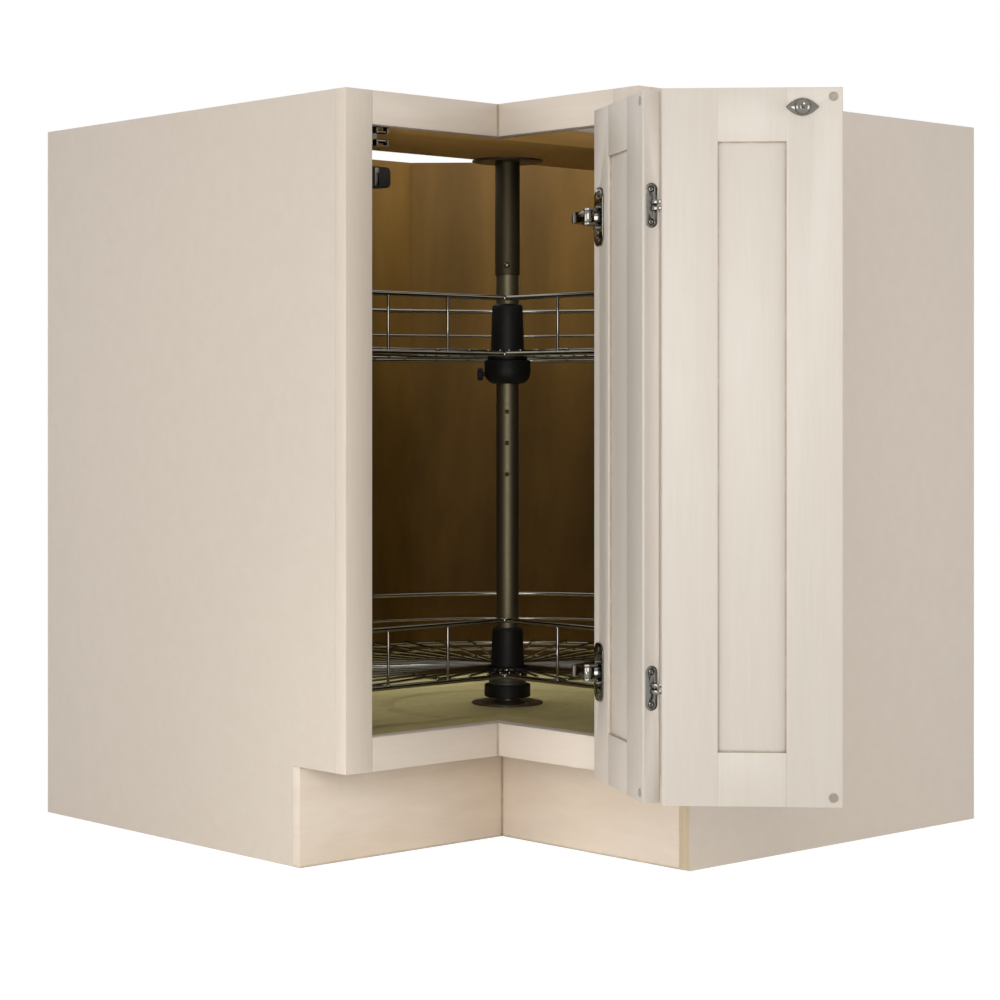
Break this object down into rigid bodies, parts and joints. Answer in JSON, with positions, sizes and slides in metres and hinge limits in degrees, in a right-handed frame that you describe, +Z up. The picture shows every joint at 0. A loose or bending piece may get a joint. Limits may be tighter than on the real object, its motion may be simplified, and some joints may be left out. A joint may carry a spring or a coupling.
{
  "type": "corner carousel cabinet",
  "caption": "Corner base cabinet with a clipped rear corner, folding pie-cut doors and wire carousel shelves that turn on a telescoping post.",
  "frame": {"origin": "the room corner at floor level, where the planes of the two back panels meet", "axes": "+Z up; +X runs from the room corner along the right wall and -Y along the left wall, so the cabinet stands in +X, -Y; the left front face looks along +X and the right front face along -Y"},
  "size_m": [1.1256, 0.8382, 0.8763],
  "materials": {
    "end_panel_laminate": "satin",
    "painted_frame": "satin painted",
    "painted_leaf": "satin painted",
    "maple_ply": "satin varnish",
    "maple_solid": "satin varnish",
    "hardboard_floor": "satin varnish",
    "chrome_wire": "polished",
    "nickel_steel": "satin",
    "bronze_paint": "satin",
    "zinc_tube": "bright",
    "black_moulding": "satin",
    "grey_moulding": "satin",
    "clear_bumper": "soft translucent",
    "screw_steel": "oil-rubbed"
  },
  "bodies": {
    "cabinet": {"left_end_panel": "end_panel_laminate", "right_end_panel": "end_panel_laminate", "left_back_panel": "maple_ply", "right_back_panel": "maple_ply", "diagonal_back_panel": "maple_ply", "floor_panel": "hardboard_floor", "floor_cleats": "maple_solid", "left_toe_board": "painted_frame", "right_toe_board": "painted_frame", "left_stile": "painted_frame", "right_stile": "painted_frame", "left_top_rail": "painted_frame", "right_top_rail": "painted_frame", "left_bottom_rail": "painted_frame", "right_bottom_rail": "painted_frame", "top_brace": "maple_solid", "top_brace_strip": "maple_solid", "nail_rails": "maple_solid", "corner_blocks": "maple_solid", "post_base_plate": "bronze_paint", "post_lower_tube": "zinc_tube", "post_upper_tube": "zinc_tube", "post_top_plate": "bronze_paint", "post_screws": "screw_steel", "post_lock_screw": "screw_steel", "upper_clamp_collar": "black_moulding", "upper_collar_knob": "black_moulding", "lower_clamp_collar": "black_moulding", "lower_thrust_ring": "grey_moulding", "hinge_brackets": "nickel_steel", "bracket_screws": "nickel_steel", "catch_housing": "nickel_steel", "magnet_catch": "black_moulding"},
    "right_leaf": {"right_leaf_hinge_stile": "painted_leaf", "right_leaf_fold_stile": "painted_leaf", "right_leaf_top_rail": "painted_leaf", "right_leaf_bottom_rail": "painted_leaf", "right_leaf_panel": "painted_leaf", "hinge_cups": "nickel_steel", "right_fold_hinges": "nickel_steel", "right_leaf_bumpers": "clear_bumper", "right_leaf_screws": "nickel_steel"},
    "left_leaf": {"left_leaf_free_stile": "painted_leaf", "left_leaf_fold_stile": "painted_leaf", "left_leaf_top_rail": "painted_leaf", "left_leaf_bottom_rail": "painted_leaf", "left_leaf_panel": "painted_leaf", "left_fold_hinges": "nickel_steel", "left_leaf_bumpers": "clear_bumper", "door_strike": "chrome_wire", "left_leaf_screws": "nickel_steel"},
    "inner_links": {"hinge_inner_links": "nickel_steel"},
    "outer_links": {"hinge_outer_links": "nickel_steel"},
    "upper_shelf": {"upper_shelf_frame": "chrome_wire", "upper_shelf_hub": "black_moulding"},
    "lower_shelf": {"lower_shelf_frame": "chrome_wire", "lower_shelf_hub": "black_moulding"},
    "upper_roller": {"catch_roller_upper": "chrome_wire"},
    "lower_roller": {"catch_roller_lower": "chrome_wire"}
  },
  "joints": [
    {"name": "door_swing", "type": "hinge", "parent": "cabinet", "child": "right_leaf", "pos_m": [0.8168, -0.63115, 0.43815], "axis": [0, 0, 1], "range_deg": [-151, 14]},
    {"name": "leaf_fold", "type": "hinge", "parent": "right_leaf", "child": "left_leaf", "pos_m": [0.97937, -0.72184, 0.43815], "axis": [0, 0, 1], "range_deg": [-8, 17.2]},
    {"name": "inner_link_swing", "type": "hinge", "parent": "cabinet", "child": "inner_links", "pos_m": [0.77, -0.57, 0.43815], "axis": [0, 0, 1], "range_deg": [-151.5, 14.5]},
    {"name": "outer_link_swing", "type": "hinge", "parent": "inner_links", "child": "outer_links", "pos_m": [0.77752, -0.61253, 0.43815], "axis": [0, 0, 1], "range_deg": [-14.5, 151.5]},
    {"name": "upper_shelf_turn", "type": "hinge", "parent": "cabinet", "child": "upper_shelf", "pos_m": [0.412, -0.412, 0.588], "axis": [0, 0, 1], "range_deg": [-360, 360]},
    {"name": "lower_shelf_turn", "type": "hinge", "parent": "cabinet", "child": "lower_shelf", "pos_m": [0.412, -0.412, 0.186], "axis": [0, 0, 1], "range_deg": [-360, 360]},
    {"name": "upper_roller_spin", "type": "hinge", "parent": "cabinet", "child": "upper_roller", "pos_m": [0.5936, -0.7746, 0.8324], "axis": [0, 1, 0], "continuous": true},
    {"name": "lower_roller_spin", "type": "hinge", "parent": "cabinet", "child": "lower_roller", "pos_m": [0.5936, -0.7746, 0.8222], "axis": [0, 1, 0], "continuous": true}
  ],
  "couplings": [
    {"joint": "leaf_fold", "follows": "door_swing", "ratio": -0.11258},
    {"joint": "inner_link_swing", "follows": "door_swing", "ratio": 1},
    {"joint": "outer_link_swing", "follows": "door_swing", "ratio": -1}
  ]
}
